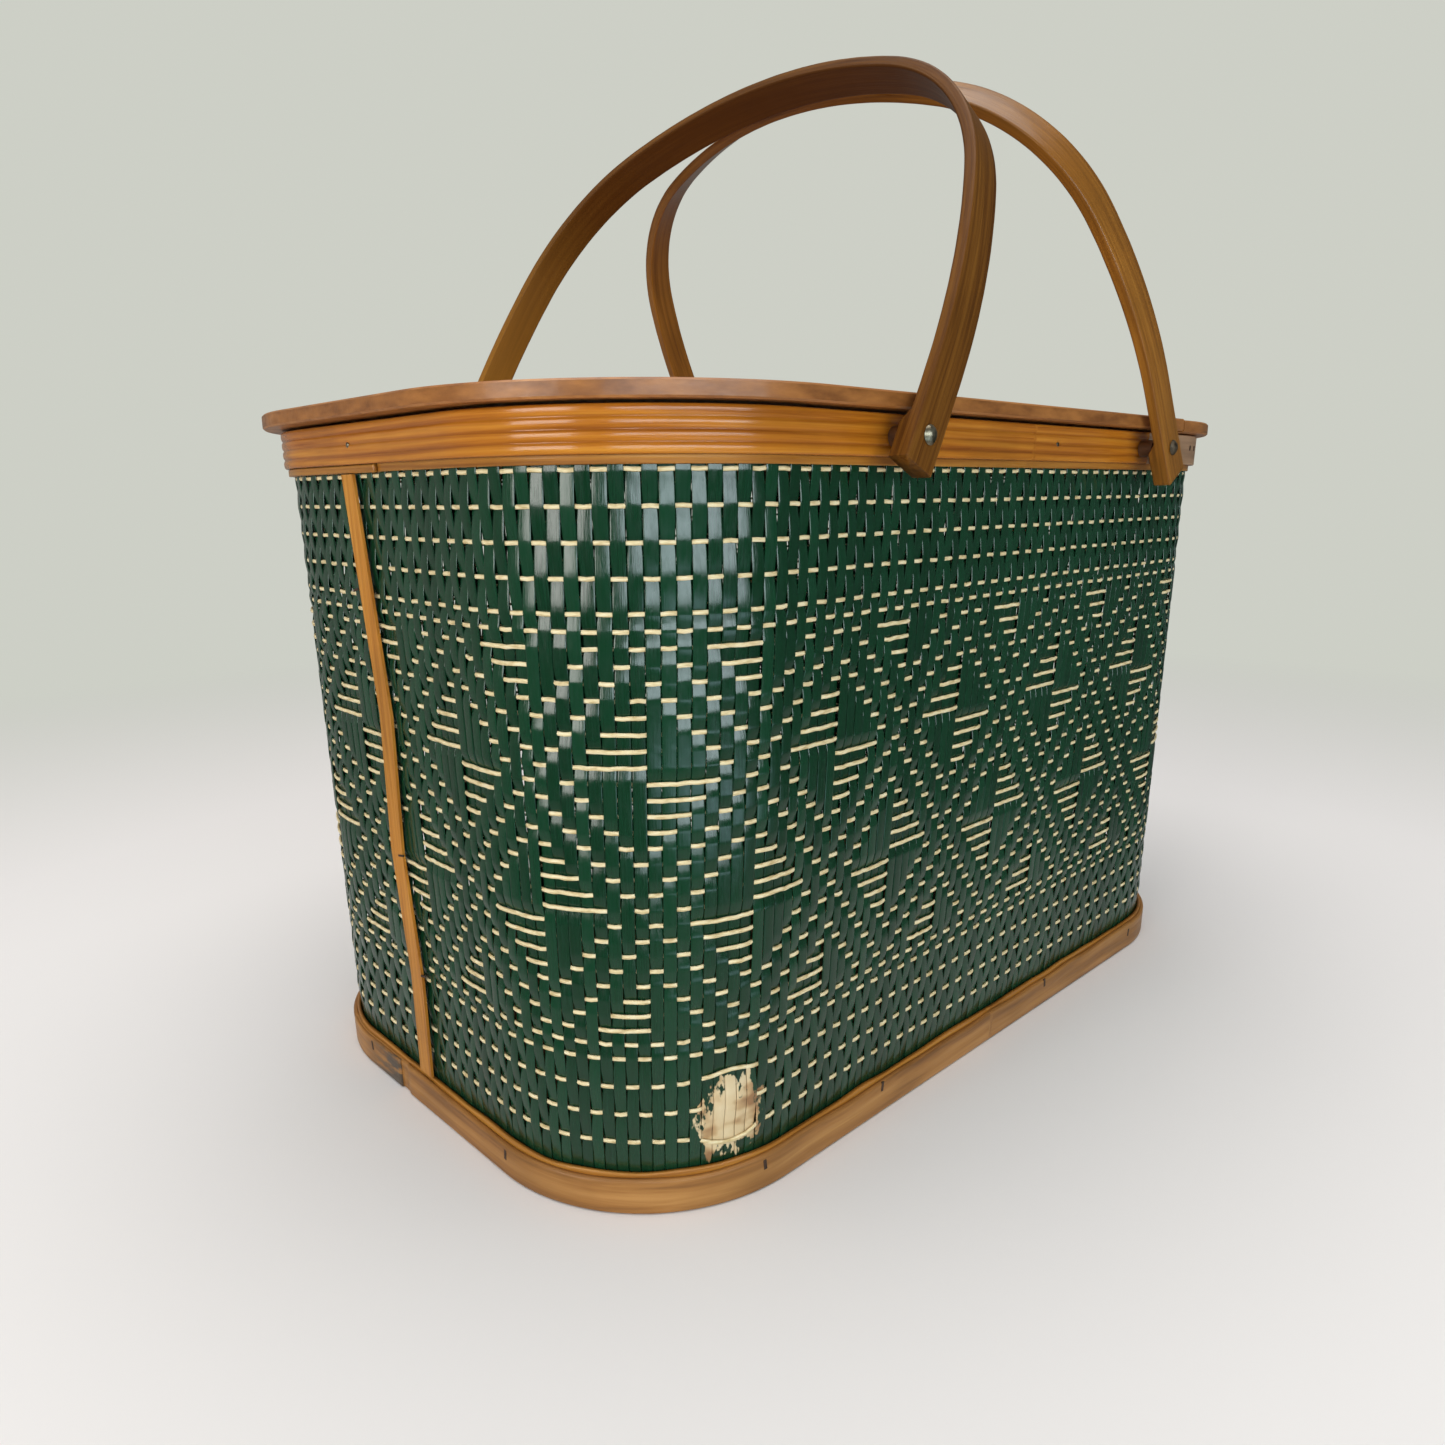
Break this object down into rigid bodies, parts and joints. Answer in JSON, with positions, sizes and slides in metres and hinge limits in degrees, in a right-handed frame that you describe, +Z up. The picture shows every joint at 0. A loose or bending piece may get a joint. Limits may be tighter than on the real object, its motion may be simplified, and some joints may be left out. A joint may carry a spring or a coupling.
{
  "type": "woven hamper with lid",
  "caption": "Woven splint hamper with rounded ends, a wooden lid with a hinged end flap, a reeded rim band and two swing handles.",
  "frame": {"origin": "centre of the base, on the floor", "axes": "+Z up, +X along the length towards the lid's hinged flap, -Y towards the front long side"},
  "size_m": [0.5, 0.3324, 0.4657],
  "materials": {
    "green_splint": "gloss varnish over green stain",
    "natural_strand": "varnished natural",
    "band_wood": "amber varnish",
    "lid_wood": "amber varnish",
    "handle_wood": "brown varnish",
    "base_wood": "bare",
    "brass": "dull"
  },
  "bodies": {
    "hamper": {"base_board": "base_wood", "bottom_band": "band_wood", "bottom_inner_strip": "band_wood", "splints_front": "green_splint", "splints_back": "green_splint", "splints_left_end": "green_splint", "splints_right_end": "green_splint", "splints_corner_front_left": "green_splint", "splints_corner_front_right": "green_splint", "splints_corner_back_left": "green_splint", "splints_corner_back_right": "green_splint", "weft_rings_upper": "natural_strand", "weft_rings_pattern": "natural_strand", "weft_rings_lower": "natural_strand", "floats_front": "natural_strand", "floats_back": "natural_strand", "floats_left_end": "natural_strand", "floats_right_end": "natural_strand", "floats_corners": "natural_strand", "seam_strip": "band_wood", "rim_inner_band": "band_wood", "rim_strip": "band_wood", "rim_reeded_band": "band_wood", "lid_board": "lid_wood", "hinge_leaves_board": "brass", "hinge_pins": "brass", "rivets_near": "brass", "rivets_far": "brass", "spacers_near": "handle_wood", "spacers_far": "handle_wood"},
    "flap": {"lid_flap": "lid_wood", "hinge_leaves_flap": "brass"},
    "near_handle": {"handle_near": "handle_wood"},
    "far_handle": {"handle_far": "handle_wood"}
  },
  "joints": [
    {"name": "flap_hinge", "type": "hinge", "parent": "hamper", "child": "flap", "pos_m": [0.136, 0, 0.3075], "axis": [0, -1, 0], "range_deg": [0, 110]},
    {"name": "near_handle_swing", "type": "hinge", "parent": "hamper", "child": "near_handle", "pos_m": [-0.1028, 0, 0.2898], "axis": [0, -1, 0], "range_deg": [0, 150]},
    {"name": "far_handle_swing", "type": "hinge", "parent": "hamper", "child": "far_handle", "pos_m": [0.1028, 0, 0.2898], "axis": [0, 1, 0], "range_deg": [0, 155]}
  ]
}
